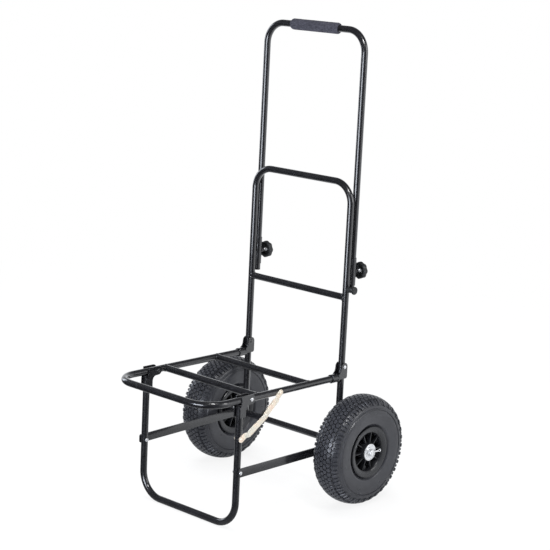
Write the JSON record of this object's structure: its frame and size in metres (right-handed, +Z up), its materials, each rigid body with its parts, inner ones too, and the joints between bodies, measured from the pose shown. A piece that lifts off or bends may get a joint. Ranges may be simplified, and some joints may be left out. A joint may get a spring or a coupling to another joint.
{
  "type": "folding fishing trolley",
  "caption": "Folding fishing trolley with a black tube frame, a fold-up platform and leg, a telescopic handle with a foam grip, and pneumatic wheels.",
  "frame": {"origin": "on the ground, at the centre of the trolley's bounding box", "axes": "+X to the trolley's right as seen from the front with the platform towards the viewer, +Y from the platform to the handle (back), +Z up"},
  "size_m": [0.523, 0.5665, 1.1047],
  "materials": {
    "black_powder_coat": "gloss black powder coat on steel tube",
    "foam": "matt charcoal foam",
    "black_plastic": "satin black moulded plastic",
    "rim_plastic": "satin black moulded plastic",
    "tyre_rubber": "dark grey rubber",
    "bright_zinc": "bright zinc-plated steel",
    "yellow_zinc": "pale yellow passivated zinc on steel strip",
    "bare_steel": "plain steel"
  },
  "bodies": {
    "back_frame": {"back_frame_tube": "black_powder_coat", "back_cross_rail": "black_powder_coat", "side_peg": "black_plastic", "handle_sleeve_left": "black_powder_coat", "handle_sleeve_right": "black_powder_coat", "axle": "bare_steel", "axle_spacer_inner_left": "bright_zinc", "axle_spacer_inner_right": "bright_zinc", "axle_spacer_outer_left": "bright_zinc", "axle_spacer_outer_right": "bright_zinc", "hub_washer_left": "bright_zinc", "hub_washer_right": "bright_zinc", "split_pin_left": "bright_zinc", "split_pin_right": "bright_zinc"},
    "platform": {"platform_tube": "black_powder_coat", "platform_bar_front": "black_powder_coat", "platform_bar_rear": "black_powder_coat", "rear_hinge_bracket_left": "black_powder_coat", "rear_hinge_bracket_right": "black_powder_coat", "rear_hinge_rivet_left": "bright_zinc", "rear_hinge_rivet_right": "bright_zinc", "brace_head_pin": "bright_zinc"},
    "front_leg": {"front_leg_tube": "black_powder_coat", "leg_bracket_left": "black_powder_coat", "leg_bracket_right": "black_powder_coat", "leg_hinge_rivet_left": "bright_zinc", "leg_hinge_rivet_right": "bright_zinc", "stay_rivet_tail_left": "bright_zinc", "stay_rivet_tail_right": "bright_zinc", "brace_foot_pin": "bright_zinc"},
    "stay_left": {"stay_left": "black_powder_coat", "stay_rivet_left": "bright_zinc"},
    "stay_right": {"stay_right": "black_powder_coat", "stay_rivet_right": "bright_zinc"},
    "brace_lower": {"brace_link_lower": "yellow_zinc", "brace_joint_pin": "bright_zinc"},
    "brace_upper": {"brace_link_upper": "yellow_zinc", "brace_joint_disc": "black_plastic"},
    "handle": {"handle_tube": "black_powder_coat", "foam_grip": "foam", "handle_plug_left": "black_plastic", "handle_plug_right": "black_plastic"},
    "clamp_left": {"clamp_knob_left": "black_plastic", "clamp_screw_left": "bright_zinc"},
    "wheel_left": {"tyre_left": "tyre_rubber", "inner_tube_left": "tyre_rubber", "rim_left": "rim_plastic", "bearing_inner_left": "bare_steel", "bearing_outer_left": "bare_steel"},
    "clamp_right": {"clamp_knob_right": "black_plastic", "clamp_screw_right": "bright_zinc"},
    "wheel_right": {"tyre_right": "tyre_rubber", "inner_tube_right": "tyre_rubber", "rim_right": "rim_plastic", "bearing_inner_right": "bare_steel", "bearing_outer_right": "bare_steel"}
  },
  "joints": [
    {"name": "platform_fold", "type": "hinge", "parent": "back_frame", "child": "platform", "pos_m": [0, 0.16095, 0.31434], "axis": [-1, 0, 0], "range_deg": [0, 90]},
    {"name": "leg_fold", "type": "hinge", "parent": "platform", "child": "front_leg", "pos_m": [0, -0.14833, 0.30228], "axis": [1, 0, 0], "range_deg": [0, 86.8]},
    {"name": "stay_left_swing", "type": "hinge", "parent": "back_frame", "child": "stay_left", "pos_m": [-0.1697, 0.15322, 0.13], "axis": [-1, 0, 0], "range_deg": [0, 80.3]},
    {"name": "stay_right_swing", "type": "hinge", "parent": "back_frame", "child": "stay_right", "pos_m": [0.1697, 0.15322, 0.13], "axis": [-1, 0, 0], "range_deg": [0, 80.3]},
    {"name": "brace_lower_swing", "type": "hinge", "parent": "front_leg", "child": "brace_lower", "pos_m": [0.1686, -0.17947, 0.21601], "axis": [-1, 0, 0], "range_deg": [0, 92.9]},
    {"name": "brace_upper_swing", "type": "hinge", "parent": "platform", "child": "brace_upper", "pos_m": [0.1663, -0.05491, 0.29836], "axis": [1, 0, 0], "range_deg": [0, 144.82]},
    {"name": "handle_slide", "type": "slide", "parent": "back_frame", "child": "handle", "axis": [0, 0.0419, 0.9991], "range_m": [-0.32, 0]},
    {"name": "clamp_left_turn", "type": "hinge", "parent": "back_frame", "child": "clamp_left", "pos_m": [-0.1524, 0.23029, 0.53613], "axis": [0, 0.9991, -0.0419], "range_deg": [0, 540]},
    {"name": "clamp_right_turn", "type": "hinge", "parent": "back_frame", "child": "clamp_right", "pos_m": [0.1524, 0.23029, 0.53613], "axis": [0, 0.9991, -0.0419], "range_deg": [0, 540]},
    {"name": "wheel_left_spin", "type": "hinge", "parent": "back_frame", "child": "wheel_left", "pos_m": [-0.2186, 0.15322, 0.13], "axis": [1, 0, 0], "continuous": true},
    {"name": "wheel_right_spin", "type": "hinge", "parent": "back_frame", "child": "wheel_right", "pos_m": [0.2186, 0.15322, 0.13], "axis": [1, 0, 0], "continuous": true}
  ],
  "couplings": [
    {"joint": "leg_fold", "follows": "platform_fold", "ratio": 0.96403},
    {"joint": "stay_left_swing", "follows": "platform_fold", "ratio": 0.89183},
    {"joint": "stay_right_swing", "follows": "platform_fold", "ratio": 0.89183},
    {"joint": "brace_lower_swing", "follows": "platform_fold", "ratio": 1.0317},
    {"joint": "brace_upper_swing", "follows": "platform_fold", "ratio": 1.6086}
  ]
}
